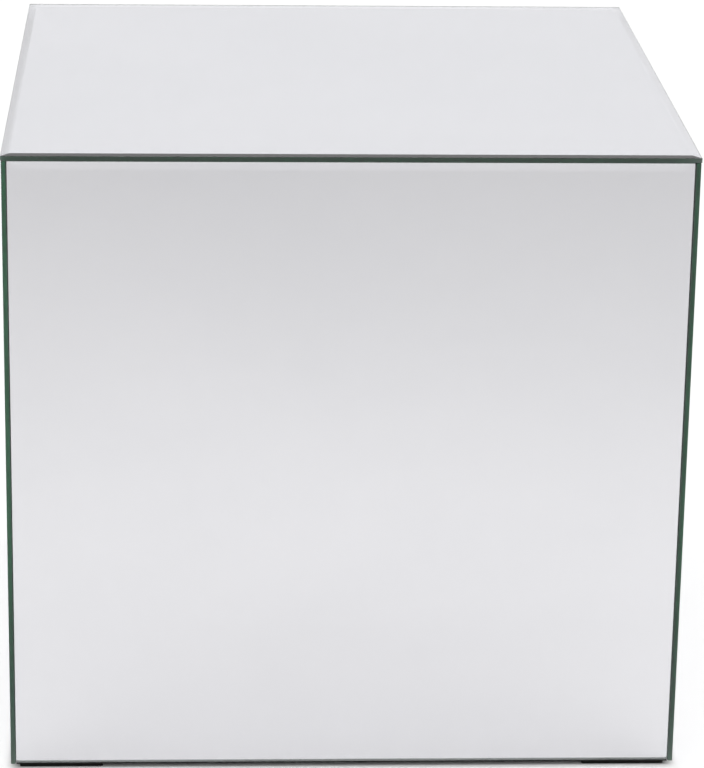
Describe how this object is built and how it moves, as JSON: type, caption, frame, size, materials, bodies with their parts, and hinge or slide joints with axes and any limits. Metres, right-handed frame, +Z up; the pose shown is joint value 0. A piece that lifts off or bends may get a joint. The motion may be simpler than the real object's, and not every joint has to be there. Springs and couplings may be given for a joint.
{
  "type": "mirrored cube side table",
  "caption": "Free-standing cube side table of MDF clad in bevelled mirror panes, standing on flat black pads.",
  "frame": {"origin": "on the floor, under the middle of the cube", "axes": "+Z up, +X to the right, the front face looks along -Y"},
  "size_m": [0.5, 0.5, 0.475],
  "materials": {
    "mirror": "bevelled silvered float glass, polished",
    "mdf": "raw medium-density fibreboard",
    "batten": "planed pine",
    "dowel": "beech",
    "adhesive": "cured mirror adhesive, matt",
    "base_sheet": "black fibre sheet, matt",
    "foot_pad": "black moulded plastic, fine grain",
    "screw": "zinc plated"
  },
  "bodies": {
    "root": {"mirror_back": "mirror", "mirror_front": "mirror", "mirror_left": "mirror", "mirror_right": "mirror", "mirror_top": "mirror", "adhesive_back": "adhesive", "adhesive_front": "adhesive", "adhesive_left": "adhesive", "adhesive_right": "adhesive", "adhesive_top": "adhesive", "board_back": "mdf", "board_bottom": "mdf", "board_front": "mdf", "board_left": "mdf", "board_right": "mdf", "board_top": "mdf", "batten_back_left": "batten", "batten_back_right": "batten", "batten_front_left": "batten", "batten_front_right": "batten", "base_sheet": "base_sheet", "foot_back_left": "foot_pad", "foot_back_right": "foot_pad", "foot_front_left": "foot_pad", "foot_front_right": "foot_pad", "pad_screw_back_left_1": "screw", "pad_screw_back_left_2": "screw", "pad_screw_back_right_1": "screw", "pad_screw_back_right_2": "screw", "pad_screw_front_left_1": "screw", "pad_screw_front_left_2": "screw", "pad_screw_front_right_1": "screw", "pad_screw_front_right_2": "screw", "bottom_screw_back_left": "screw", "bottom_screw_back_right": "screw", "bottom_screw_front_left": "screw", "bottom_screw_front_right": "screw", "dowel_back_1": "dowel", "dowel_back_2": "dowel", "dowel_front_1": "dowel", "dowel_front_2": "dowel", "dowel_left_1": "dowel", "dowel_left_2": "dowel", "dowel_right_1": "dowel", "dowel_right_2": "dowel"}
  },
  "joints": []
}
